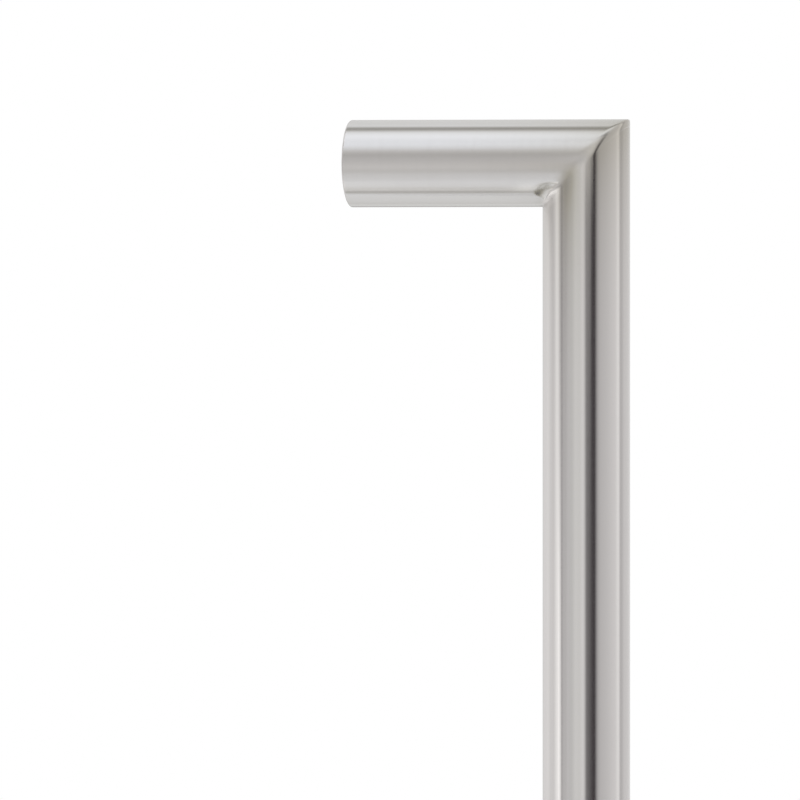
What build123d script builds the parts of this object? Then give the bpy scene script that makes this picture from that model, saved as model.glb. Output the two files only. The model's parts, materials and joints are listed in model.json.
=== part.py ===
from build123d import *

import math
import os

# A pull handle for a door: three lengths of round tube, mitred and butt-welded into a D,
# with a threaded plug inside the foot of each leg. Sizes are in millimetres.
# +X points away from the door and +Z up along the grip. The origin lies on the door's face,
# midway between the two fixing holes.

# Tube and overall sizes
TUBE_DIAMETER = 19.0
WALL = 1.5
FIXING_CENTRES = 225.0  # between the axes of the two legs
PROJECTION = 62.0  # from the door's face to the outermost line of the grip
FOOT_EDGE_BREAK = 0.5  # chamfer round the outside of each foot

# Threaded plug in each foot
PLUG_LENGTH = 18.0
PLUG_CLEARANCE = 0.05  # all round, between the plug and the tube
PLUG_LEAD = 0.8  # chamfer on the end that enters the tube first
TAPPING_BORE = 6.8  # for an M8 thread
MOUTH_CHAMFER = 0.7  # radial width of the countersink at the thread's mouth
MOUTH_ANGLE = 120.0  # whole angle of that countersink, in degrees

# Weld at each mitre, dressed flush outside, with a hollow ground into both flanks of the inner corner
WELD_WIDTH = 2.4  # square across the joint
HEAD_RADIUS = 14.4  # of the round head that ground the hollow
HOLLOW_DEPTH = 0.45  # below the leg's surface, at the seam
HOLLOW_FALL = 40.5  # degrees round the leg, from its flank towards the inner corner

# Places and radii that follow from the sizes above
tube_radius = TUBE_DIAMETER / 2
bore_radius = tube_radius - WALL
grip_x = PROJECTION - tube_radius
corner_z = FIXING_CENTRES / 2
overrun = TUBE_DIAMETER  # how far an uncut bar runs past its corner
half_weld = WELD_WIDTH / 2


def mitre(end, shift=0.0):
    """The mitre plane of the corner at this end (1 upper, -1 lower), moved towards the grip by shift."""
    return Plane((grip_x, 0, end * corner_z), z_dir=(1, 0, -end)).offset(shift)


def leg_bar(end, radius):
    """A round bar along a leg, from the door's face to past the corner."""
    along_leg = (Align.CENTER, Align.CENTER, Align.MIN)
    return Plane.YZ * Pos(0, end * corner_z) * Cylinder(radius, PROJECTION + overrun, align=along_leg)


def grip_bar(radius):
    """A round bar along the grip, running past both corners."""
    return Pos(grip_x) * Cylinder(radius, FIXING_CENTRES + 2 * overrun)


def uncut_leg(end):
    """The tube of a leg before its mitre is cut."""
    return leg_bar(end, tube_radius) - leg_bar(end, bore_radius)


def uncut_grip():
    """The tube of the grip before its mitres are cut."""
    return grip_bar(tube_radius) - grip_bar(bore_radius)


def grinding_head(end, side):
    """The ball that grinds a leg's flank (side 1 or -1 along Y) up against the seam of the inner corner."""
    fall = math.radians(HOLLOW_FALL)
    outward = Vector(0, side * math.cos(fall), -end * math.sin(fall))
    on_axis = Vector(grip_x - tube_radius * math.sin(fall), 0, end * corner_z)
    return Pos(on_axis + outward * (tube_radius + HEAD_RADIUS - HOLLOW_DEPTH)) * Sphere(HEAD_RADIUS)


def ground_leg(end):
    """The tube of a leg up to the seam, with the hollow in both flanks."""
    tube = split(uncut_leg(end), mitre(end), Keep.BOTTOM)
    for side in (1, -1):
        tube -= grinding_head(end, side)
    return tube


def leg_tube(end):
    """A leg, square at the foot with its edge broken, mitred where the weld begins."""
    tube = split(ground_leg(end), mitre(end, -half_weld), Keep.BOTTOM)
    foot_rim = tube.edges().group_by(Axis.X)[0].sort_by(SortBy.RADIUS)[-1]
    return chamfer(foot_rim, FOOT_EDGE_BREAK)


def grip_tube():
    """The grip, mitred at both ends where the welds begin."""
    tube = uncut_grip()
    for end in (1, -1):
        tube = split(tube, mitre(end, half_weld), Keep.TOP)
    return tube


def threaded_plug(end):
    """A turned plug flush with the foot, bored and countersunk for the fixing bolt."""
    plug_radius = bore_radius - PLUG_CLEARANCE
    hole_radius = TAPPING_BORE / 2
    mouth_depth = MOUTH_CHAMFER / math.tan(math.radians(MOUTH_ANGLE / 2))
    half_section = Polyline(
        (0, hole_radius + MOUTH_CHAMFER),
        (0, plug_radius),
        (PLUG_LENGTH - PLUG_LEAD, plug_radius),
        (PLUG_LENGTH, plug_radius - PLUG_LEAD),
        (PLUG_LENGTH, hole_radius),
        (mouth_depth, hole_radius),
        close=True,
    )
    return Pos(0, 0, end * corner_z) * revolve(make_face(half_section), Axis.X)


def mitre_weld(end):
    """The ring of weld metal between a leg and the grip, ground hollow on the leg's side of the seam."""
    leg_half = split(ground_leg(end), mitre(end, -half_weld), Keep.TOP)
    grip_half = split(split(uncut_grip(), mitre(end), Keep.TOP), mitre(end, half_weld), Keep.BOTTOM)
    return leg_half + grip_half


handle = {"grip_tube": grip_tube()}
for name, end in (("upper", 1), ("lower", -1)):
    handle[f"{name}_leg_tube"] = leg_tube(end)
    handle[f"{name}_threaded_plug"] = threaded_plug(end)
    handle[f"{name}_mitre_weld"] = mitre_weld(end)

os.makedirs("parts", exist_ok=True)
for node, solid in handle.items():
    export_step(solid, f"parts/{node}.step")
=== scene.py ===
import json
import logging
import math
from abc import ABC, abstractmethod
from dataclasses import dataclass
from enum import Enum
from typing import Any, ClassVar

import bpy
import numpy as np
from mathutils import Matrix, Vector


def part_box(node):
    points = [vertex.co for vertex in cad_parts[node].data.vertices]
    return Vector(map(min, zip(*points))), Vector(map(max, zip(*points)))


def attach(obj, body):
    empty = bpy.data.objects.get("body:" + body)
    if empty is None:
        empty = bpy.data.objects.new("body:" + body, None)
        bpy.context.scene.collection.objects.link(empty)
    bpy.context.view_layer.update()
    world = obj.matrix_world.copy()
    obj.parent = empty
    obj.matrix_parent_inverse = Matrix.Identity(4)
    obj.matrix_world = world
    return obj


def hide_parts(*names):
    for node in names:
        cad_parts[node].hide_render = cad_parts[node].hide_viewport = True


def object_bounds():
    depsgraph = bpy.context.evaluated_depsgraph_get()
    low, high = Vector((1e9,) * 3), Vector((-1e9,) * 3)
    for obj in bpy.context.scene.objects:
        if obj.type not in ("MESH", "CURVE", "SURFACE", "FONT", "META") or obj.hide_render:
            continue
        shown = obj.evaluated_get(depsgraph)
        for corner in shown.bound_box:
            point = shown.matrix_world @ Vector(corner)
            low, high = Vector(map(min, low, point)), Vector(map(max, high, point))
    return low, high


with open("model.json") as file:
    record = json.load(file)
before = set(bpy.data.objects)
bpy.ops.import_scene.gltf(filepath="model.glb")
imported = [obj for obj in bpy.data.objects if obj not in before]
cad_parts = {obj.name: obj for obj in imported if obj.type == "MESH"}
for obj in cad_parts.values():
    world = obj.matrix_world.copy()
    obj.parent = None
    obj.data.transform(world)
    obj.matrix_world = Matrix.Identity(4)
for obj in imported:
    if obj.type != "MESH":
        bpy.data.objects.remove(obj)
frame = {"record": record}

# Looks of a mitred pull handle: satin stainless tube, dressed welds and threaded plugs, in a light tent.
# Lengths are in metres and angles in degrees unless a name says otherwise.

Span = tuple[float, float]
Colour = tuple[float, float, float]
Stops = tuple[Span, ...]
Array = np.ndarray
Numbers = np.ndarray | float
Socket = bpy.types.NodeSocket

LOG = logging.getLogger("pull_handle")
CAD_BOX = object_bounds()
MM = 0.001
BODY = "root"
PLUG_GAP = 0.05 * MM  # clearance all round between a plug and its tube

TUBE_COLUMNS = 384  # points round a tube
PLUG_COLUMNS = 192  # points round a plug
GRAIN_MAP = "grain_run"  # UV map whose first direction is the run along the tube, across the grain
GRAIN_RUN = "grain_run_length"  # vertex attribute: that run
SHADE_AND_DARKENING = "shade_and_darkening"  # vertex attribute: how much painted shade, and the near-black darkening at the scoop's tip, darken the steel
PAINTED_HIGHLIGHT = "ground"  # vertex attribute: where highlights are painted lighter on the steel, which is also rougher there
FULL_SHADE = 0.35  # share up to which the steel takes the straw colour of the painted shade, and past which it goes near black


class End(Enum):
    """The handle's two corners, with the sign of their height."""

    UPPER = 1
    LOWER = -1


class Flank(Enum):
    """The two flanks of a leg, with the sign of their place along Y."""

    NEAR = -1
    FAR = 1


class Slot(Enum):
    """The record's material slots."""

    TUBE = "satin_stainless"
    WELD = "dressed_weld"
    PLUG = "turned_steel"


def smooth_step(value: Numbers, low: float, high: float) -> Array:
    """Ease from 0 at low to 1 at high by 3t^2 - 2t^3, where t is the share of the way between them."""
    share = np.clip((value - low) / (high - low), 0.0, 1.0)
    return share * share * (3.0 - 2.0 * share)


def eased_ramp(run: Array, soft: Numbers) -> Array:
    """Nothing below -soft, the run itself above soft, and between them (run + soft)^2 / (4 soft)."""
    parabola = np.clip(run + soft, 0.0, None) ** 2 / (4.0 * soft)
    return np.where(run > soft, run, parabola)


def ring_angles(columns: int) -> Array:
    """Angles in radians of evenly spaced points round a ring, the first at 0."""
    return np.linspace(0.0, 2.0 * math.pi, columns, endpoint=False)


def quarter_turn(rows: int) -> Array:
    """Angles in radians from 0 to a right angle, one per row."""
    return np.linspace(0.0, math.pi / 2, rows)[:, None]


def between(start: Array, stop: Numbers, rows: int) -> Array:
    """Rows of values that go evenly from start to stop, both included, with one value per column."""
    share = np.linspace(0.0, 1.0, rows)[:, None]
    return start * (1.0 - share) + stop * share


def column(*values: float) -> Array:
    """The values one below another, one per row."""
    return np.array(values)[:, None]


def closed(grid: Array) -> Array:
    """The grid with its first column repeated after the last."""
    return np.concatenate([grid, grid[:, :1]], axis=1)


def cells(grid: Array) -> Array:
    """The four corner values of each cell of a grid that already has its closing column."""
    corners = np.stack([grid[:-1, :-1], grid[:-1, 1:], grid[1:, 1:], grid[1:, :-1]], axis=2)
    return corners.reshape(-1, 4, *grid.shape[2:])


PLUG_THETA = ring_angles(PLUG_COLUMNS)  # in radians, round a plug
THETA = ring_angles(TUBE_COLUMNS)  # in radians, round a tube from its heel line towards the near flank
FROM_HEEL = np.degrees(np.abs((THETA + math.pi) % (2 * math.pi) - math.pi))  # alike on both flanks


@dataclass(frozen=True)
class HandleSizes:
    """Sizes of the handle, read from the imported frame."""

    tube_radius: float
    bore_radius: float
    plug_radius: float
    plug_length: float
    hole_radius: float
    grip_x: float
    corner_z: float
    weld_reach: float

    @classmethod
    def from_frame(cls) -> "HandleSizes":
        """Read the sizes from the CAD nodes' boxes and the record's fixing mount.

        Returns:
            The handle's sizes.
        """
        whole_low, whole_high = CAD_BOX
        leg_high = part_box("upper_leg_tube")[1]
        plug_low, plug_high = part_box("upper_threaded_plug")
        mounts = {mount["name"]: mount for mount in frame["record"]["mounts"]}
        fixings = mounts["door_fixings"]["dims"]
        tube_radius = (whole_high.y - whole_low.y) / 2
        plug_radius = (plug_high.y - plug_low.y) / 2
        grip_x = whole_high.x - tube_radius
        return cls(
            tube_radius=tube_radius,
            bore_radius=plug_radius + PLUG_GAP,
            plug_radius=plug_radius,
            plug_length=plug_high.x,
            hole_radius=fixings["hole_r_mm"] * MM,
            grip_x=grip_x,
            corner_z=fixings["spacing_y_mm"] * MM / 2,
            weld_reach=grip_x + tube_radius - leg_high.x,
        )

    def leg_rings(self, end: End, x: Array, radius: Numbers) -> Array:
        """Points round a leg's axis, row by row, from their distance to the door and to the axis."""
        height = end.value * (self.corner_z + radius * np.cos(THETA))
        return np.stack(np.broadcast_arrays(x, -radius * np.sin(THETA), height), axis=-1)

    def grip_rings(self, z: Array, radius: Numbers) -> Array:
        """Points round the grip's axis, row by row, from their height and their distance to the axis."""
        out = self.grip_x + radius * np.cos(THETA)
        return np.stack(np.broadcast_arrays(out, -radius * np.sin(THETA), z), axis=-1)


@dataclass
class Patch:
    """One smooth stretch of a wall: rows along its section, columns closed round the tube."""

    points: Array
    run: Array
    # painted shade with the near-black darkening, and the painted highlight, per point
    shade_and_darkening: Numbers = 0.0
    ground: Numbers = 0.0

    def normals(self) -> Array:
        """Work out the normals: the cross product of the differences round the tube and along the section.

        Returns:
            Unit vectors, one per point.
        """
        along = np.gradient(self.points, axis=0)
        round_tube = np.roll(self.points, -1, axis=1) - np.roll(self.points, 1, axis=1)
        across = np.cross(round_tube, along)
        return across / np.linalg.norm(across, axis=-1, keepdims=True)


@dataclass
class Shell:
    """A closed wall made of patches that follow one another round its section.

    The last row of each patch lies on the first row of the next, and the last patch comes back to
    the first, so the wall has no open edge. Each patch keeps its own normals, so it is smooth inside
    and crisp at its ends.
    """

    name: str
    patches: list[Patch]

    def mesh(self) -> bpy.types.Mesh:
        """Lay the patches out as one mesh of four-sided faces.

        The faces are turned round if the volume that they enclose comes out below zero.

        Returns:
            The mesh, with outward faces, its grain run as UV map and attribute, and exact normals.
        """
        points = np.concatenate([patch.points[:-1] for patch in self.patches]).reshape(-1, 3)
        corners, normals, uvs = self._corners()
        a, b, c, d = (points[corners[:, k]] for k in range(4))
        if np.einsum("ij,ij->", np.cross(b - a, c - a) + np.cross(c - a, d - a), a) < 0.0:
            corners, normals, uvs = corners[:, ::-1], -normals[:, ::-1], uvs[:, ::-1]
        mesh = bpy.data.meshes.new(self.name)
        mesh.from_pydata(points.tolist(), [], corners.tolist())
        mesh.uv_layers.new(name=GRAIN_MAP).data.foreach_set("uv", uvs.astype(np.float32).ravel())
        # the grain run, the painted shade with its darkening, and the painted highlight are kept per point
        for name, part in ((GRAIN_RUN, "run"), (SHADE_AND_DARKENING, "shade_and_darkening"), (PAINTED_HIGHLIGHT, "ground")):
            grids = [np.broadcast_to(getattr(patch, part), patch.run.shape)[:-1] for patch in self.patches]
            values = np.concatenate(grids).astype(np.float32).ravel()
            mesh.attributes.new(name, "FLOAT", "POINT").data.foreach_set("value", values)
        mesh.shade_smooth()
        mesh.normals_split_custom_set(normals.reshape(-1, 3))
        return mesh

    def _corners(self) -> list[Array]:
        """Number the points, and take the four corners of every cell of every patch.

        Returns:
            Point numbers, normals and UV places, each of shape (faces, 4) or (faces, 4, parts).
        """
        columns = self.patches[0].points.shape[1]
        girth = np.linspace(0.0, 1.0, columns + 1)
        first_rows = np.cumsum([0] + [len(patch.points) - 1 for patch in self.patches])
        parts = []
        for patch, first in zip(self.patches, first_rows):
            rows = (first + np.arange(len(patch.points))) % first_rows[-1]
            numbers = closed(rows[:, None] * columns + np.arange(columns))
            uvs = np.stack(np.broadcast_arrays(closed(patch.run), girth), axis=-1)
            parts.append([cells(grid) for grid in (numbers, closed(patch.normals()), uvs)])
        return [np.concatenate(part) for part in zip(*parts)]


class NodeSheet:
    """A node tree with short calls for adding nodes and joining sockets."""

    def __init__(self, tree: bpy.types.NodeTree) -> None:
        """Start from an empty tree."""
        self.tree = tree
        tree.nodes.clear()

    def add(self, kind: str, inputs: dict[Any, Any] | None = None, **settings: Any) -> bpy.types.Node:
        """Add a node.

        Args:
            kind: the node's type name.
            inputs: socket name or number to a value, or to an output socket to join.
            settings: properties of the node itself.

        Returns:
            The new node.
        """
        node = self.tree.nodes.new(kind)
        for name, value in settings.items():
            setattr(node, name, value)
        for socket, value in (inputs or {}).items():
            if isinstance(value, Socket):
                self.tree.links.new(value, node.inputs[socket])
            else:
                node.inputs[socket].default_value = value
        return node

    def math(self, operation: str, first: Any, second: Any = 0.0) -> Socket:
        """Join or set two numbers and return what a Math node makes of them."""
        return self.add("ShaderNodeMath", {0: first, 1: second}, operation=operation).outputs[0]

    def mix(self, share: Socket, first: Any, second: Any) -> Socket:
        """Mix two colours: the first where share is 0 and the second where it is 1."""
        return self.add("ShaderNodeMix", {0: share, 6: first, 7: second}, data_type="RGBA").outputs[2]

    def kept(self, name: str) -> Socket:
        """The number that the mesh keeps per vertex under this name."""
        return self.add("ShaderNodeAttribute", attribute_name=name).outputs["Fac"]

    def bump(self, height: Socket, depth: float, **under: Socket) -> Socket:
        """The normal of a relief, laid over another normal if one is given."""
        inputs = {"Height": height, "Distance": depth, "Strength": 1.0, **under}
        return self.add("ShaderNodeBump", inputs).outputs[0]

    def span(self, value: Socket, source: Span, target: tuple[Any, Any], eased: bool = True) -> Socket:
        """Carry a number from one range to another, gently if eased, and hold it there past both ends."""
        ease = {"interpolation_type": "SMOOTHSTEP" if eased else "LINEAR"}
        return self.add("ShaderNodeMapRange", dict(enumerate((value, *source, *target))), **ease).outputs[0]

    def noise(self, **inputs: Any) -> Socket:
        """Noise with these inputs, in three dimensions, or in four if W is among them."""
        settings = {"noise_dimensions": "4D" if "W" in inputs else "3D"}
        return self.add("ShaderNodeTexNoise", inputs, **settings).outputs[0]


@dataclass(frozen=True)
class GrainedSteel:
    """Steel with a fine grain that runs round the piece, so light smears along the tube."""

    name: str
    colour: Colour
    roughness: float
    roughness_spread: float
    anisotropy: float
    grain_pitch: float
    grain_length: float
    grain_depth: float
    wave_length: float
    wave_depth: float
    mottle: float  # how far clouds and streaks lie above and below the colour, as a share of it
    cloud_share: float = 0.6  # of the mottle; the streaks have the rest
    cloud_detail: float = 2.0
    grain_detail: float = 3.0
    grain_unevenness: float = 0.6
    grain_levels: Span = (0.3, 0.7)  # over which the roughness goes from its least to its most
    # colours of the straw painted shade, of the near-black darkening and of the painted highlight, and the
    # roughness added with the shade and with the highlight
    shade_colour: Colour = (0.437, 0.414, 0.360)
    near_black_colour: Colour = (0.110, 0.106, 0.130)
    ground_colour: Colour = (0.800, 0.782, 0.765)
    shade_roughness: float = 0.06
    ground_roughness: float = 0.03

    def material(self) -> bpy.types.Material:
        """Make the finish, unless it is made already.

        The grain is noise that changes fast with the run along the tube and slowly with place. The roughness
        follows it, and grows where shade and highlights are painted. The grain's scratches lie over the
        faint waves that polishing leaves.

        Returns:
            The finish's material.
        """
        found = bpy.data.materials.get(self.name)
        if found is not None:
            return found
        material = bpy.data.materials.new(self.name)
        material.use_nodes = True
        sheet = NodeSheet(material.node_tree)
        place = sheet.add("ShaderNodeTexCoord").outputs["Object"]
        cloud = sheet.noise(Vector=place, Scale=1.0 / self.wave_length, Detail=self.cloud_detail)
        stretch = {0: place, 3: 1.0 / self.grain_length}
        slow = sheet.add("ShaderNodeVectorMath", stretch, operation="SCALE").outputs[0]
        fast = sheet.math("MULTIPLY", sheet.kept(GRAIN_RUN), 1.0 / self.grain_pitch)
        fine = {"Detail": self.grain_detail, "Roughness": self.grain_unevenness}
        grain = sheet.noise(Vector=slow, W=fast, Scale=1.0, **fine)
        levels = self.roughness - self.roughness_spread, self.roughness + self.roughness_spread
        streaked = sheet.span(grain, self.grain_levels, levels)
        # rougher where shade and highlights are painted
        shade_rough = sheet.math("MULTIPLY", sheet.kept(SHADE_AND_DARKENING), self.shade_roughness)
        coarse = sheet.math("MULTIPLY", sheet.kept(PAINTED_HIGHLIGHT), self.ground_roughness)
        waves = sheet.bump(cloud, self.wave_depth)
        tangent = sheet.add("ShaderNodeTangent", direction_type="UV_MAP", uv_map=GRAIN_MAP)
        values = {
            "Base Color": self._tone(sheet, cloud, grain),
            "Metallic": 1.0,
            "Roughness": sheet.math("ADD", streaked, sheet.math("ADD", shade_rough, coarse)),
            "Anisotropic": self.anisotropy,
            "Tangent": tangent.outputs[0],
            "Normal": sheet.bump(grain, self.grain_depth, Normal=waves),
        }
        shader = sheet.add("ShaderNodeBsdfPrincipled", values)
        sheet.add("ShaderNodeOutputMaterial", {"Surface": shader.outputs[0]})
        return material

    def _tone(self, sheet: NodeSheet, cloud: Socket, grain: Socket) -> Socket:
        """Base colour: cloudy and streaked, lighter where highlights are painted, with a straw painted shade
        by the welds, and near black where darkest.

        Args:
            sheet: the finish's nodes.
            cloud: the polishing's clouds.
            grain: the streaks.

        Returns:
            The colour.
        """
        light = tuple(min(1.0, part * (1.0 + self.mottle)) for part in self.colour)
        deep = tuple(part * (1.0 - self.mottle) for part in self.colour)
        clouds = sheet.math("MULTIPLY", cloud, self.cloud_share)
        streaks = sheet.math("MULTIPLY", grain, 1.0 - self.cloud_share)
        steel = sheet.mix(sheet.math("ADD", clouds, streaks), (*deep, 1.0), (*light, 1.0))
        # painted shade: straw up to FULL_SHADE, near black past it
        shade_level = sheet.kept(SHADE_AND_DARKENING)
        shade_share = sheet.span(shade_level, (0.0, FULL_SHADE), (0.0, 1.0), eased=False)
        darkening = sheet.span(shade_level, (FULL_SHADE, 1.0), (0.0, 1.0), eased=False)
        # painted highlight: lighter steel where the highlight mask is set
        highlighted = sheet.mix(sheet.kept(PAINTED_HIGHLIGHT), steel, (*self.ground_colour, 1.0))
        shaded_steel = sheet.mix(shade_share, highlighted, (*self.shade_colour, 1.0))
        return sheet.mix(darkening, shaded_steel, (*self.near_black_colour, 1.0))


SATIN_TUBE = GrainedSteel(
    name="satin_stainless_tube",
    colour=(0.600, 0.584, 0.572),
    roughness=0.236,
    roughness_spread=0.012,
    anisotropy=1.0,
    grain_pitch=0.25 * MM,
    grain_length=12.0 * MM,
    grain_depth=0.0005 * MM,
    wave_length=22.0 * MM,
    wave_depth=0.012 * MM,
    mottle=0.015,
)
TURNED_PLUG = GrainedSteel(
    name="turned_steel_plug",
    colour=(0.560, 0.552, 0.545),
    roughness=0.30,
    roughness_spread=0.05,
    anisotropy=0.70,
    grain_pitch=0.18 * MM,
    grain_length=40.0 * MM,
    grain_depth=0.004 * MM,
    wave_length=8.0 * MM,
    wave_depth=0.002 * MM,
    mottle=0.03,
)


@dataclass(frozen=True)
class SoftMark:
    """A soft mark by a scoop, placed back along the leg and down the flank in the scoop's half sizes."""

    back: float
    down: float
    long: float
    wide: float
    share: float = 1.0

    def at(self, back: Array, down: Array) -> Array:
        """The mark's strength: a bell curve, its share at the middle and 1/e of that one spread away."""
        off = ((back - self.back) / self.long) ** 2 + ((down - self.down) / self.wide) ** 2
        return self.share * np.exp(-off)


@dataclass(frozen=True)
class DressingScoop:
    """The hollow that a round grinding head leaves in a flank of the leg, up against the seam."""

    head_radius: float = 14.4 * MM
    depth: float = 0.45 * MM
    fall: float = 40.5  # from the leg's flank towards the inner corner
    rim_soft: float = 0.22 * MM
    dark_from: float = 0.1  # share of the depth past which the near-black darkening and the painted shade stay in full
    # the tip is painted nearly black, and painted shade lies below the upper rim
    dark_tip: SoftMark = SoftMark(0.76, 0.32, 0.30, 0.42, share=0.7)
    rim_shade: SoftMark = SoftMark(0.50, -0.45, 0.32, 0.35, share=0.2)
    # painted highlights: on the rim behind the tip, behind the scoop, along the lip and on the floor
    rim_highlight: SoftMark = SoftMark(1.0, -0.40, 0.40, 0.40)
    back_highlight: SoftMark = SoftMark(1.7, -0.35, 0.8, 0.5, share=0.6)
    lip_place: float = 1.0 * MM
    lip_spread: float = 1.2 * MM
    lip_middle: float = -0.15  # down the flank, in half widths
    lip_length: float = 1.2  # in half widths
    floor_from: float = 0.125  # share of the depth past which the floor's painted highlight is full
    floor_share: float = 0.7
    floor_fade: Span = (0.25, 0.85)  # back along the leg, in half lengths

    def heel_angle(self) -> float:
        """Angle of the scoop's middle round the tube, from the heel line."""
        return 90.0 + self.fall

    def relief(self, points: Array, sizes: HandleSizes, end: End, flank: Flank) -> Array:
        """How far points of the leg lie inside the grinding head.

        The head is a ball whose middle stands straight out from the seam, so that it sinks into the
        leg by the scoop's depth. A point's depth is the ball's radius less its distance from the middle,
        eased at the rim.

        Args:
            points: the skin, of shape (rows, columns, 3).
            sizes: the handle's sizes.
            end: which corner.
            flank: which flank of the leg.

        Returns:
            Depths of shape (rows, columns).
        """
        fall = math.radians(self.fall)
        outward = np.array([0.0, flank.value * math.cos(fall), -end.value * math.sin(fall)])
        seam_x = sizes.grip_x - sizes.tube_radius * math.sin(fall)
        axis = np.array([seam_x, 0.0, end.value * sizes.corner_z])
        middle = axis + outward * (sizes.tube_radius + self.head_radius - self.depth)
        return eased_ramp(self.head_radius - np.linalg.norm(points - middle, axis=-1), self.rim_soft)

    def shade_and_highlight(self, sizes: HandleSizes, reach: Array, sunk: Numbers) -> tuple[Array, Array]:
        """How dark the steel is painted in and round the scoop, and where highlights are painted on it.

        Places are counted from its middle on the seam: back along the leg in half lengths and down the flank
        in half widths of what the ball cuts, each the root of twice the depth over the bend. The steel is
        nearly black at the tip, with painted shade below the upper rim. Highlights are painted on the floor
        by the seam, on the rim and behind the scoop, and on the lip: a bell curve across the seam, ended by
        a fourth power.

        Args:
            sizes: the handle's sizes.
            reach: run from the seam, negative along the leg.
            sunk: depth of the scoop.

        Returns:
            Darkening with painted shade, and painted highlight, each from 0 to 1.
        """
        bend = 1.0 / self.head_radius + 1.0 / sizes.tube_radius
        half_width = math.sqrt(2.0 * self.depth / bend)
        back = -reach / math.sqrt(2.0 * self.depth * self.head_radius)
        down = np.radians(FROM_HEEL - self.heel_angle()) * sizes.tube_radius / half_width
        # the tip painted nearly black, and painted shade below the upper rim
        darkening = np.maximum(self.dark_tip.at(back, down), self.rim_shade.at(back, down))
        shade_and_darkening = smooth_step(sunk, 0.0, self.dark_from * self.depth) * darkening
        # painted highlights on the floor by the seam, on the lip across it, on the rim and behind the scoop
        floor = smooth_step(sunk, 0.0, self.floor_from * self.depth)
        highlighted = self.floor_share * floor * (1.0 - smooth_step(back, *self.floor_fade))
        across = (reach - self.lip_place) / self.lip_spread
        along = (down - self.lip_middle) / self.lip_length
        lip = np.exp(-(across**2) - along**4)
        behind = np.maximum(self.rim_highlight.at(back, down), self.back_highlight.at(back, down))
        return shade_and_darkening, np.maximum(np.maximum(highlighted, lip), behind)


@dataclass(frozen=True)
class PaintedLightBand:
    """A band on the tube that deepens the painted shade or leaves a gap in it, placed by its angle from the
    heel line, that fades away from the seam.
    """

    place: float
    spread: float
    reach: float
    share: float

    def at(self, run: Array) -> Array:
        """The mark's strength: a bell curve round its place, which fades by exp(-run / reach)."""
        off = (FROM_HEEL - self.place) / self.spread
        return self.share * np.exp(-run / self.reach - off**2)


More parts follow.
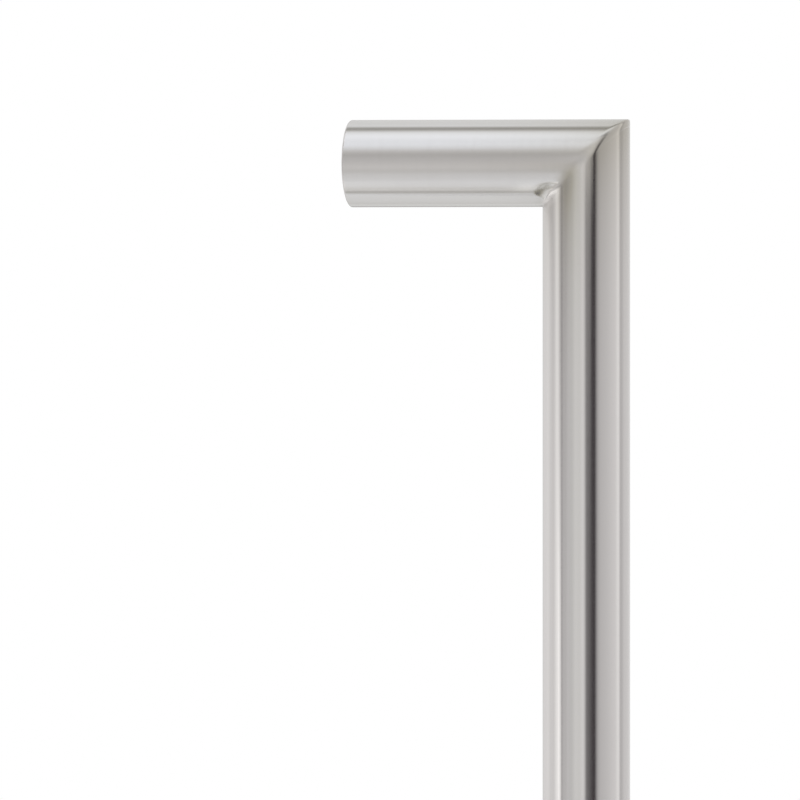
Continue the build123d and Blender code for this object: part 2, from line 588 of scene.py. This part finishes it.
@dataclass(frozen=True)
class Corner:
    """Skin of one mitred corner, from the leg through the dressed weld to the grip."""

    sizes: HandleSizes
    end: End
    scoop: DressingScoop = DressingScoop()
    step: float = 0.06 * MM  # run over which the scoop ends at the seam
    # the seam's blend: its half width at heel and throat, along the flank and at the flank's middle
    crisp: float = 0.4 * MM
    blended: float = 1.4 * MM
    swept: float = 2.2 * MM
    blend_in: Span = (4.0, 40.0)
    blend_out: Span = (135.0, 172.0)
    sweep_in: Span = (55.0, 80.0)
    sweep_out: Span = (92.0, 108.0)
    # the dressed skin's edge: a flap on the leg round each scoop, and the least run past the blend
    flap: float = 3.6 * MM
    flap_end: Span = (20.0, 38.0)
    margin: float = 0.3 * MM
    # how far a tube's skin runs on under the dressed skin, and how deep, so that no crack shows
    lap: float = 0.1 * MM
    lap_depth: float = 0.03 * MM
    # painted shade by the seam: how dark on leg and grip, how it blends and fades, where it is left out, its
    # gap that paints a highlight along the seam, and its darker band on the grip
    leg_shade: float = 0.2
    grip_shade: float = 0.34
    shade_blend: float = 3.0 * MM
    shade_reach: float = 16.0 * MM
    leg_dressed: Span = (92.0, 108.0)
    throat_unshaded: Span = (106.0, 126.0)
    throat_shade_cut: float = 0.6
    shade_gap: PaintedLightBand = PaintedLightBand(place=83.0, spread=8.0, reach=12.0 * MM, share=0.7)
    grip_shade_band: PaintedLightBand = PaintedLightBand(place=102.0, spread=7.0, reach=12.0 * MM, share=0.2)

    def seam(self, radius: float) -> Array:
        """Where the two tubes' surfaces of this radius meet: an ellipse on the mitre plane."""
        return self.sizes.leg_rings(self.end, self.sizes.grip_x + radius * np.cos(THETA), radius)

    def leg_edge(self) -> Array:
        """Run from the seam to the dressed skin's edge on the leg: past weld, blend and scoops."""
        flap = self.flap * (1.0 - smooth_step(np.abs(FROM_HEEL - self.scoop.heel_angle()), *self.flap_end))
        return np.maximum(self.sizes.weld_reach + flap, self.soften() + self.margin)

    def grip_edge(self) -> Array:
        """Run from the seam to the dressed skin's edge on the grip: past weld and blend."""
        return np.maximum(self.sizes.weld_reach, self.soften() + self.margin)

    def soften(self) -> Array:
        """Work out the half width of the seam's blend: crisp at heel and throat, and widest on the flanks.

        Returns:
            One half width per column.
        """
        flank = smooth_step(FROM_HEEL, *self.blend_in) * (1.0 - smooth_step(FROM_HEEL, *self.blend_out))
        sweep = smooth_step(FROM_HEEL, *self.sweep_in) * (1.0 - smooth_step(FROM_HEEL, *self.sweep_out))
        return self.crisp + (self.blended - self.crisp) * flank + (self.swept - self.blended) * sweep

    def skin(self, reach: Array) -> Array:
        """Lay out the corner's surface, with its crease softened.

        From each point of the seam the surface runs along the leg where reach is negative and along
        the grip where it is positive. Both runs are eased ramps, which join within soften of the seam.

        Args:
            reach: run from the seam, of shape (rows, columns).

        Returns:
            Points of shape (rows, columns, 3).
        """
        to_door = eased_ramp(-reach, self.soften())[..., None] * np.array([-1.0, 0.0, 0.0])
        to_middle = eased_ramp(reach, self.soften())[..., None] * np.array([0.0, 0.0, -self.end.value])
        return self.seam(self.sizes.tube_radius) + to_door + to_middle

    def seam_shade(self, reach: Array) -> Array:
        """How much painted shade darkens the steel by the seam.

        It is most at the seam and fades by exp(-run / shade_reach). The leg's underside has none of it and
        the grip's throat little. A stretch of the flank has a gap in it along the seam, which paints a
        highlight there, and a stretch of the grip is painted darker.

        Args:
            reach: run from the seam, negative along the leg and positive along the grip.

        Returns:
            Painted shade from 0 to 1, of the same shape as reach.
        """
        run = np.abs(reach)
        on_grip = smooth_step(reach, -self.shade_blend, self.shade_blend)
        leg = self.leg_shade * (1.0 - smooth_step(FROM_HEEL, *self.leg_dressed))
        grip = self.grip_shade * (1.0 - self.throat_shade_cut * smooth_step(FROM_HEEL, *self.throat_unshaded))
        # painted shade, darkest at the seam, with a gap along the flank that paints a highlight and a darker
        # band on the grip
        tint = (leg * (1.0 - on_grip) + grip * on_grip) * np.exp(-run / self.shade_reach)
        return tint * (1.0 - self.shade_gap.at(run)) + on_grip * self.grip_shade_band.at(run)

    def shade_and_highlight(self, reach: Array, sunk: Numbers = 0.0) -> tuple[Array, Array]:
        """How dark the skin is painted, by the scoop or by the seam's painted shade, whichever is more, and
        where highlights are painted.
        """
        shade_and_darkening, ground = self.scoop.shade_and_highlight(self.sizes, reach, sunk)
        return np.maximum(shade_and_darkening, self.seam_shade(reach)), ground


@dataclass(frozen=True)
class Piece(ABC):
    """A piece of the handle: a closed wall of one steel, which stands for one CAD node."""

    sizes: HandleSizes
    kind: ClassVar[str]
    look: ClassVar[str] = "satin"
    slot: ClassVar[Slot] = Slot.TUBE
    finish: ClassVar[GrainedSteel] = SATIN_TUBE

    def node(self) -> str:
        """The CAD node that the piece stands for."""
        return self.kind

    @abstractmethod
    def patches(self) -> list[Patch]:
        """The stretches of the piece's wall, in order round its section."""

    def build(self) -> bpy.types.Object:
        """Put the piece's wall into the scene, at the origin, riding on the handle.

        Returns:
            The piece's object, still without its finish.
        """
        name = f"{self.node()}_{self.look}"
        body = bpy.data.objects.new(name, Shell(name, self.patches()).mesh())
        bpy.context.scene.collection.objects.link(body)
        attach(body, BODY)
        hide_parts(self.node())
        return body

    def dress(self, body: bpy.types.Object) -> None:
        """Give the piece's object its steel."""
        body.data.materials.append(self.finish.material())


@dataclass(frozen=True)
class EndPiece(Piece):
    """A piece that the handle has at its upper and at its lower end."""

    end: End

    def node(self) -> str:
        """The CAD node that the piece stands for."""
        return f"{self.end.name.lower()}_{self.kind}"


@dataclass(frozen=True)
class LegTube(EndPiece):
    """A short tube from the door to a corner, with its broken edge at the foot."""

    kind: ClassVar[str] = "leg_tube"
    edge_break: float = 0.5 * MM
    bore_break: float = 0.12 * MM
    skin_rows: int = 60
    edge_rows: int = 12
    foot_rows: int = 4
    bore_rows: int = 12

    def patches(self) -> list[Patch]:
        """Work out the leg: lap, outer skin with its foot edge, foot ring, bore and mitred end.

        Every stretch is a row of rings, given by their distance from the door and their radius. The edges
        at the foot are quarter circles.

        Returns:
            The stretches of the leg's wall.
        """
        sizes = self.sizes
        corner = Corner(sizes, self.end)
        level = np.ones_like(THETA)
        turn = quarter_turn(self.edge_rows)
        seam_x = sizes.grip_x + sizes.tube_radius * np.cos(THETA)
        weld_x = seam_x - corner.leg_edge()
        lap_x = weld_x + corner.lap
        lap_radius = sizes.tube_radius - corner.lap_depth
        bore_x = sizes.grip_x + sizes.bore_radius * np.cos(THETA) - sizes.weld_reach
        skin_x = between(weld_x, self.edge_break * level, self.skin_rows)
        edge_x = self.edge_break * (1.0 - np.sin(turn[1:])) * level
        edge_radius = sizes.tube_radius - self.edge_break * (1.0 - np.cos(turn[1:]))
        foot = np.linspace(edge_radius[-1], sizes.bore_radius + self.bore_break, self.foot_rows)
        lip_x = self.bore_break * (1.0 - np.cos(turn)) * level
        lip_radius = sizes.bore_radius + self.bore_break * (1.0 - np.sin(turn))
        inner_x = between(self.bore_break * level, bore_x, self.bore_rows)[1:]
        skin_radius = np.full((self.skin_rows, 1), sizes.tube_radius)
        inner_radius = np.full((self.bore_rows - 1, 1), sizes.bore_radius)
        stretches = [
            (np.stack([lap_x, weld_x]), column(lap_radius, sizes.tube_radius)),
            (np.concatenate([skin_x, edge_x]), np.concatenate([skin_radius, edge_radius])),
            (np.zeros((self.foot_rows, TUBE_COLUMNS)), foot),
            (np.concatenate([lip_x, inner_x]), np.concatenate([lip_radius, inner_radius])),
            (np.stack([bore_x, lap_x]), column(sizes.bore_radius, lap_radius)),
        ]
        # each stretch carries the painted shade and painted highlight by the seam
        return [
            Patch(
                sizes.leg_rings(self.end, x, radius),
                x - (sizes.tube_radius - radius),
                *corner.shade_and_highlight(x - seam_x),
            )
            for x, radius in stretches
        ]


@dataclass(frozen=True)
class GripTube(Piece):
    """The long tube that the hand holds."""

    kind: ClassVar[str] = "grip_tube"
    skin_rows: int = 121
    bore_rows: int = 12

    def patches(self) -> list[Patch]:
        """Work out the grip: outer skin between its laps, mitred ends and bore.

        Every stretch is a row of rings, given by their height and their radius.

        Returns:
            The stretches of the grip's wall.
        """
        sizes = self.sizes
        corner = Corner(sizes, End.UPPER)
        seam_z = sizes.corner_z + sizes.tube_radius * np.cos(THETA)
        outer_top = seam_z - corner.grip_edge()
        inner_top = sizes.corner_z + sizes.bore_radius * np.cos(THETA) - sizes.weld_reach
        lap_top = outer_top + corner.lap
        lap_radius = sizes.tube_radius - corner.lap_depth
        rise = column(lap_radius, sizes.tube_radius)
        cut = column(lap_radius, sizes.bore_radius)
        stretches = [
            (np.stack([lap_top, outer_top]), rise),
            (between(outer_top, -outer_top, self.skin_rows), sizes.tube_radius),
            (np.stack([-outer_top, -lap_top]), rise[::-1]),
            (np.stack([-lap_top, -inner_top]), cut),
            (between(-inner_top, inner_top, self.bore_rows), sizes.bore_radius),
            (np.stack([inner_top, lap_top]), cut[::-1]),
        ]
        leg_to_grip = sizes.grip_x - sizes.corner_z
        # each stretch carries the painted shade and painted highlight by the seam
        return [
            Patch(
                sizes.grip_rings(z, radius),
                np.abs(z) + leg_to_grip - (sizes.tube_radius - radius),
                *corner.shade_and_highlight(seam_z - np.abs(z)),
            )
            for z, radius in stretches
        ]


@dataclass(frozen=True)
class MitreWeld(EndPiece):
    """The weld metal of one corner, dressed flush, with its two scoops."""

    kind: ClassVar[str] = "mitre_weld"
    look: ClassVar[str] = "dressed"
    slot: ClassVar[Slot] = Slot.WELD
    leg_rows: int = 48
    crease_rows: int = 41
    grip_rows: int = 8
    joint_run: float = 1.0 * MM  # run across each joint face, which no light reaches

    def patches(self) -> list[Patch]:
        """Work out the weld: dressed skin with its scoops, its two joint faces and its root inside the bore.

        The skin's rows go from its edge on the leg over the seam to its edge on the grip. Across the blend
        their run is a share of the blend's half width times that share's size, so most lie by the seam.

        Returns:
            The stretches of the weld's wall.
        """
        sizes = self.sizes
        corner = Corner(sizes, self.end)
        soften = corner.soften()
        share = np.linspace(-1.0, 1.0, self.crease_rows)[1:, None]
        on_leg = between(-corner.leg_edge(), -soften, self.leg_rows)
        on_grip = between(soften, corner.grip_edge(), self.grip_rows)[1:]
        reach = np.concatenate([on_leg, soften * share * np.abs(share), on_grip])
        flush = Patch(corner.skin(reach), reach)
        sunk = sum(corner.scoop.relief(flush.points, sizes, self.end, flank) for flank in Flank)
        sunk = sunk * smooth_step(-reach, 0.0, corner.step)
        points = flush.points - self._outward(flush) * sunk[..., None]
        run = corner.seam(sizes.tube_radius)[:, 0] - np.abs(reach)
        # the skin carries the painted shade and painted highlights of the seam and the scoop
        skin = Patch(points, run, *corner.shade_and_highlight(reach, sunk))
        root = corner.seam(sizes.bore_radius)
        root_leg = root + np.array([-sizes.weld_reach, 0.0, 0.0])
        root_grip = root + np.array([0.0, 0.0, -self.end.value * sizes.weld_reach])
        rings = [points[-1], root_grip, root, root_leg, points[0]]
        return [skin, *(self._joint(*pair) for pair in zip(rings, rings[1:]))]

    def _outward(self, flush: Patch) -> Array:
        """The patch's normals, turned round if they point to the leg's axis at the near flank."""
        normals = flush.normals()
        return -normals * math.copysign(1.0, normals[0, TUBE_COLUMNS // 4, 1])

    def _joint(self, start: Array, stop: Array) -> Patch:
        """The straight face between two rings of points."""
        return Patch(np.stack([start, stop]), start[:, 0] + column(0.0, self.joint_run))


@dataclass(frozen=True)
class ThreadedPlug(EndPiece):
    """The turned plug in a foot, with its countersunk metric thread."""

    kind: ClassVar[str] = "threaded_plug"
    look: ClassVar[str] = "turned"
    slot: ClassVar[Slot] = Slot.PLUG
    finish: ClassVar[GrainedSteel] = TURNED_PLUG
    pitch: float = 1.25 * MM
    root_radius: float = 4.0 * MM
    root_flat: float = 0.16 * MM
    thread_angle: float = 60.0
    mouth_width: float = 0.7 * MM
    mouth_angle: float = 120.0
    lead: float = 0.8 * MM
    rim_break: float = 0.15 * MM
    rows_per_turn: int = 20
    face_rows: int = 16
    rim_rows: int = 6
    side_rows: int = 8

    def thread_radius(self, x: Array) -> Array:
        """Work out the radius of the tapped wall.

        The groove's middle climbs one pitch per turn. Away from it the radius falls along flanks with the
        thread's angle between them, down to the hole's own, and the countersink's cone cuts the mouth.

        Args:
            x: depth from the foot, of shape (rows, 1).

        Returns:
            Radii of shape (rows, columns).
        """
        turns = x / self.pitch - PLUG_THETA / (2.0 * math.pi)
        from_groove = np.abs((turns + 0.5) % 1.0 - 0.5) * self.pitch
        slope = math.tan(math.radians(self.thread_angle / 2))
        flank = self.root_radius - (from_groove - self.root_flat / 2) / slope
        wall = np.clip(flank, self.sizes.hole_radius, self.root_radius)
        cone = self.sizes.hole_radius + self.mouth_width - x * math.tan(math.radians(self.mouth_angle / 2))
        return np.maximum(wall, cone)

    def patches(self) -> list[Patch]:
        """Work out the plug: face, broken rim, turned side, lead, back and tapped hole.

        Every stretch is a row of rings, given by their depth from the foot and their radius.

        Returns:
            The stretches of the plug's wall.
        """
        level = np.ones_like(PLUG_THETA)
        length = self.sizes.plug_length
        side = self.sizes.plug_radius
        rim = side - self.rim_break
        mouth = self.sizes.hole_radius + self.mouth_width
        turn = quarter_turn(self.rim_rows)
        side_x = np.linspace(self.rim_break, length - self.lead, self.side_rows)[:, None]
        depth = np.linspace(length, 0.0, int(length / self.pitch * self.rows_per_turn))[:, None]
        bore = self.thread_radius(depth)
        stretches = [
            (np.zeros((self.face_rows, 1)), np.linspace(mouth, rim, self.face_rows)[:, None] * level),
            (self.rim_break * (1.0 - np.cos(turn)), (rim + self.rim_break * np.sin(turn)) * level),
            (side_x, np.full((self.side_rows, PLUG_COLUMNS), side)),
            (column(length - self.lead, length), column(side, side - self.lead) * level),
            (column(length, length), np.stack([(side - self.lead) * level, bore[0]])),
            (depth, bore),
        ]
        centre = self.end.value * self.sizes.corner_z
        patches = []
        for x, radius in stretches:
            ring = [x * level, radius * np.cos(PLUG_THETA), centre + radius * np.sin(PLUG_THETA)]
            patches.append(Patch(np.stack(ring, axis=-1), x - radius))
        return patches


@dataclass(frozen=True)
class LightTent:
    """The white tent round the handle: how bright its walls are, by direction.

    walls gives (azimuth, level) pairs round the handle, with azimuth 0 straight in front and growing
    to the right. roof gives (angle, level) pairs over it, with 0 straight in front, 90 overhead and -90
    underneath. Near the horizon the walls count, and above and below it the roof.
    """

    walls: Stops = (
        # rear wall, with a gap in it
        (-180, 0.9), (-171, 0.9), (-162, 0.28), (-150, 0.85),
        # left side, with a bright fold and a thin gap beside it
        (-110, 1.1), (-87, 0.82), (-79, 1.0), (-74, 1.25), (-67, 1.08), (-63, 0.66), (-60, 0.55),
        (-57, 0.24), (-53, 0.64), (-44, 0.63), (-34, 0.79),
        # bright front, falling into the dark opening that the camera looks through
        (-17.5, 1.75), (-6, 1.71), (-1, 1.08), (3, 1.0), (6.5, 0.94), (9.5, 0.54), (12, 0.24), (35, 0.012),
        # right side, with a bright fold and a seam
        (42, 0.55), (48, 0.73), (68, 0.82), (97, 0.98), (108, 1.3), (113, 0.72), (121, 0.7), (131, 0.88),
        (180, 0.9),
    )
    roof: Stops = (
        # behind and underneath
        (-180, 0.8), (-165, 0.4), (-145, 1.05), (-137, 0.85), (-120, 1.0), (-98, 1.06), (-91, 1.24),
        # seam where floor and front meet
        (-87, 0.71), (-82, 0.43), (-80, 0.47), (-77, 0.86), (-70, 0.82), (-64, 1.08), (-53, 1.19),
        # front, darkest at the height of the camera
        (-44, 1.13), (-28, 1.0), (-20, 0.76), (-5, 0.45), (5, 0.23), (10, 0.15), (27, 0.74), (34, 0.97),
        # lit roof, and the seam behind it
        (39, 1.27), (50, 1.57), (77, 1.46), (91, 1.24), (98, 0.7), (104, 0.33), (111, 0.62), (117, 1.22),
        (122, 1.07), (180, 0.8),
    )
    wall_top: Span = (8.0, 26.0)  # heights between which the walls give way to the roof
    tall_by: float = 50.0  # how much higher that is where the walls are tall
    tall_right: Span = (-0.10, 0.05)  # how far to the right the walls start to be tall, and are
    tall_left: Span = (0.45, 0.62)  # the same to the left
    roof_low: float = 0.55  # the roof's share at the horizon, between the tall walls
    roof_cool: float = 0.12
    wall_tint: Colour = (0.010, 0.0, 0.006)
    roof_tint: Colour = (-0.012, 0.0, 0.0)

    def build(self) -> bpy.types.World:
        """Make the world: the tent for the handle and plain white for the camera.

        The roof's share grows with height, and later where the walls are tall.

        Returns:
            The world.
        """
        world = bpy.data.worlds.new("light_tent")
        world.use_nodes = True
        sheet = NodeSheet(world.node_tree)
        direction = sheet.add("ShaderNodeTexCoord").outputs["Generated"]
        x, y, z = sheet.add("ShaderNodeSeparateXYZ", {0: direction}).outputs
        front = sheet.math("MULTIPLY", y, -1.0)
        walls = self._ramp(sheet, sheet.math("ARCTAN2", x, front), self.walls, 0.0, self.wall_tint)
        roof = self._ramp(sheet, sheet.math("ARCTAN2", z, front), self.roof, self.roof_cool, self.roof_tint)
        right = sheet.span(x, self.tall_right, (0.0, 1.0))
        left = sheet.span(sheet.math("MULTIPLY", x, -1.0), self.tall_left, (0.0, 1.0))
        tall = sheet.math("ADD", right, left)
        spare = sheet.math("MULTIPLY", tall, math.radians(self.tall_by))
        height = sheet.math("ABSOLUTE", sheet.math("ARCSINE", z))
        top = math.radians(self.wall_top[0]), math.radians(self.wall_top[1])
        least = sheet.math("MULTIPLY", sheet.math("SUBTRACT", 1.0, tall), self.roof_low)
        share = sheet.span(sheet.math("SUBTRACT", height, spare), top, (least, 1.0))
        tent = sheet.mix(share, walls, roof)
        seen = sheet.add("ShaderNodeLightPath").outputs["Is Camera Ray"]
        colour = sheet.mix(seen, tent, (1.0, 1.0, 1.0, 1.0))
        light = sheet.add("ShaderNodeBackground", {"Color": colour, "Strength": 1.0})
        sheet.add("ShaderNodeOutputWorld", {"Surface": light.outputs[0]})
        return world

    def _ramp(self, sheet: NodeSheet, angle: Socket, stops: Stops, cool: float, tint: Colour) -> Socket:
        """Look an angle in radians up among (degrees, level) stops.

        Args:
            sheet: the world's nodes.
            angle: the angle.
            stops: the levels, in order of angle.
            cool: how much bluer the light gets with each unit of level.
            tint: red, green and blue that are added to every level.

        Returns:
            The level as a nearly grey colour.
        """
        share = sheet.span(angle, (-math.pi, math.pi), (0.0, 1.0), eased=False)
        node = sheet.add("ShaderNodeValToRGB", {0: share})
        elements = node.color_ramp.elements
        while len(elements) < len(stops):
            elements.new(1.0)
        for element, (degrees, level) in zip(elements, stops):
            element.position = (degrees + 180.0) / 360.0
            shift = cool * (level - 1.0)
            light = np.array([level * (1.0 - shift / 2), level, level * (1.0 + shift)]) + tint
            element.color = (*light, 1.0)
        return node.outputs[0]


@dataclass(frozen=True)
class TallLamp:
    """A tall soft lamp that stands beside the grip and faces it."""

    name: str
    azimuth: float
    width: float
    level: float
    distance: float = 0.2
    foot: float = -0.40
    head: float = 0.05

    def build(self, sizes: HandleSizes) -> None:
        """Stand the lamp up, facing the grip, out of the camera's sight and with no light for the floor.

        Its power is pi times its area times its level, which makes its face as bright as the level says.

        Args:
            sizes: the handle's sizes.
        """
        turn = math.radians(self.azimuth)
        away = Vector((math.sin(turn), -math.cos(turn), 0.0))
        data = bpy.data.lights.new(self.name, "AREA")
        data.shape = "RECTANGLE"
        data.size = self.width
        data.size_y = self.head - self.foot
        data.energy = math.pi * data.size * data.size_y * self.level
        lamp = bpy.data.objects.new(self.name, data)
        lamp.location = Vector((sizes.grip_x, 0.0, (self.head + self.foot) / 2)) + away * self.distance
        lamp.rotation_euler = (-away).to_track_quat("-Z", "Y").to_euler()
        lamp.visible_camera = False
        lamp.visible_diffuse = False
        bpy.context.scene.collection.objects.link(lamp)


LAMPS = (
    TallLamp("strip_lamp", azimuth=-61.5, width=0.022, level=0.5, distance=0.13, head=0.036),
    TallLamp("side_lamp", azimuth=-64.0, width=0.22, level=0.11),
    TallLamp("high_lamp", azimuth=18.0, width=0.042, level=0.35, foot=0.10, head=0.40),
    TallLamp("corner_lamp", azimuth=18.0, width=0.012, level=0.48, distance=0.034, foot=0.1095, head=0.16),
)


@dataclass(frozen=True)
class Studio:
    """Floor, light tent, lamps and camera."""

    sizes: HandleSizes
    tent: LightTent = LightTent()
    lamps: tuple[TallLamp, ...] = LAMPS
    floor_radius: float = 0.9
    floor_hub: float = 0.002  # radius of the innermost ring, which one face closes
    floor_fade: float = 0.35  # distance from the middle at which the floor starts to fade
    floor_columns: int = 96
    floor_rows: int = 24
    floor_colour: Colour = (0.88, 0.88, 0.88)
    view_azimuth: float = 12.9
    view_distance: float = 5.0
    view_clip: Span = (0.05, 20.0)
    sensor: float = 36.0  # width in millimetres
    frame_pixels: float = 800.0
    pixels_per_mm: float = 4.605
    grip_pixel_x: float = 586.4
    leg_pixel_y: float = 163.1

    def build(self) -> None:
        """Set the stage."""
        scene = bpy.context.scene
        scene.world = self.tent.build()
        scene.view_settings.view_transform = "Standard"
        for lamp in self.lamps:
            lamp.build(self.sizes)
        self._floor()
        scene.camera = self._camera()

    def _camera(self) -> bpy.types.Object:
        """Stand the camera so that the grip and the upper leg fall on their pixels of the photograph.

        Returns:
            The camera.
        """
        turn = math.radians(self.view_azimuth)
        right = Vector((math.cos(turn), math.sin(turn), 0.0))
        back = Vector((math.sin(turn), -math.cos(turn), 0.0))
        metres_per_pixel = MM / self.pixels_per_mm
        middle = self.frame_pixels / 2
        corner = Vector((self.sizes.grip_x, 0.0, self.sizes.corner_z))
        drop = Vector((0.0, 0.0, (middle - self.leg_pixel_y) * metres_per_pixel))
        aim = corner - right * ((self.grip_pixel_x - middle) * metres_per_pixel) - drop
        data = bpy.data.cameras.new("camera")
        data.sensor_width = self.sensor
        data.lens = self.sensor * self.view_distance / (self.frame_pixels * metres_per_pixel)
        data.clip_start, data.clip_end = self.view_clip
        camera = bpy.data.objects.new("camera", data)
        camera.location = aim + back * self.view_distance
        camera.rotation_euler = (-back).to_track_quat("-Z", "Y").to_euler()
        bpy.context.scene.collection.objects.link(camera)
        return camera

    def _floor(self) -> None:
        """Lay a floor of rings of points, which the metal doesn't show and which keeps no light from it."""
        theta = ring_angles(self.floor_columns)
        radius = np.linspace(self.floor_hub, self.floor_radius, self.floor_rows)[:, None]
        centre = self._floor_centre()
        flat = np.zeros((self.floor_rows, self.floor_columns))
        ring = np.stack([radius * np.cos(theta), radius * np.sin(theta), flat], axis=-1) + centre
        index = np.arange(flat.size).reshape(flat.shape)
        quads = cells(closed(index))[:, [0, 3, 2, 1]]
        mesh = bpy.data.meshes.new("floor")
        faces = [index[0].tolist(), *quads.tolist()]
        mesh.from_pydata(ring.reshape(-1, 3).tolist(), [], faces)
        mesh.materials.append(self._floor_finish())
        floor = bpy.data.objects.new("floor", mesh)
        floor.visible_glossy = False
        floor.visible_shadow = False
        bpy.context.scene.collection.objects.link(floor)

    def _floor_centre(self) -> tuple[float, float, float]:
        """The floor's middle: below the middle of the legs, at the height of the handle's lowest line."""
        return (self.sizes.grip_x / 2, 0.0, -(self.sizes.corner_z + self.sizes.tube_radius))

    def _floor_finish(self) -> bpy.types.Material:
        """Make the floor's finish, which melts into the white behind it.

        Returns:
            The floor's material.
        """
        material = bpy.data.materials.new("pale_floor")
        material.use_nodes = True
        sheet = NodeSheet(material.node_tree)
        place = sheet.add("ShaderNodeTexCoord").outputs["Object"]
        ends = {0: place, 1: self._floor_centre()}
        away = sheet.add("ShaderNodeVectorMath", ends, operation="DISTANCE").outputs[1]
        fade = sheet.span(away, (self.floor_fade, self.floor_radius), (0.0, 1.0))
        matt = sheet.add("ShaderNodeBsdfDiffuse", {"Color": (*self.floor_colour, 1.0)}).outputs[0]
        clear = sheet.add("ShaderNodeBsdfTransparent").outputs[0]
        surface = sheet.add("ShaderNodeMixShader", {0: fade, 1: matt, 2: clear}).outputs[0]
        sheet.add("ShaderNodeOutputMaterial", {"Surface": surface})
        return material


def main() -> None:
    """Build and dress every piece in order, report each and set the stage."""
    logging.basicConfig(level=logging.INFO, format="%(name)s: %(message)s")
    sizes = HandleSizes.from_frame()
    pieces: list[Piece] = [GripTube(sizes)]
    for end in End:
        pieces += [LegTube(sizes, end), MitreWeld(sizes, end), ThreadedPlug(sizes, end)]
    for piece in pieces:
        body = piece.build()
        piece.dress(body)
        LOG.info("%s: %d faces for %s", body.name, len(body.data.polygons), piece.node())
    Studio(sizes).build()


if __name__ == "__main__":
    main()
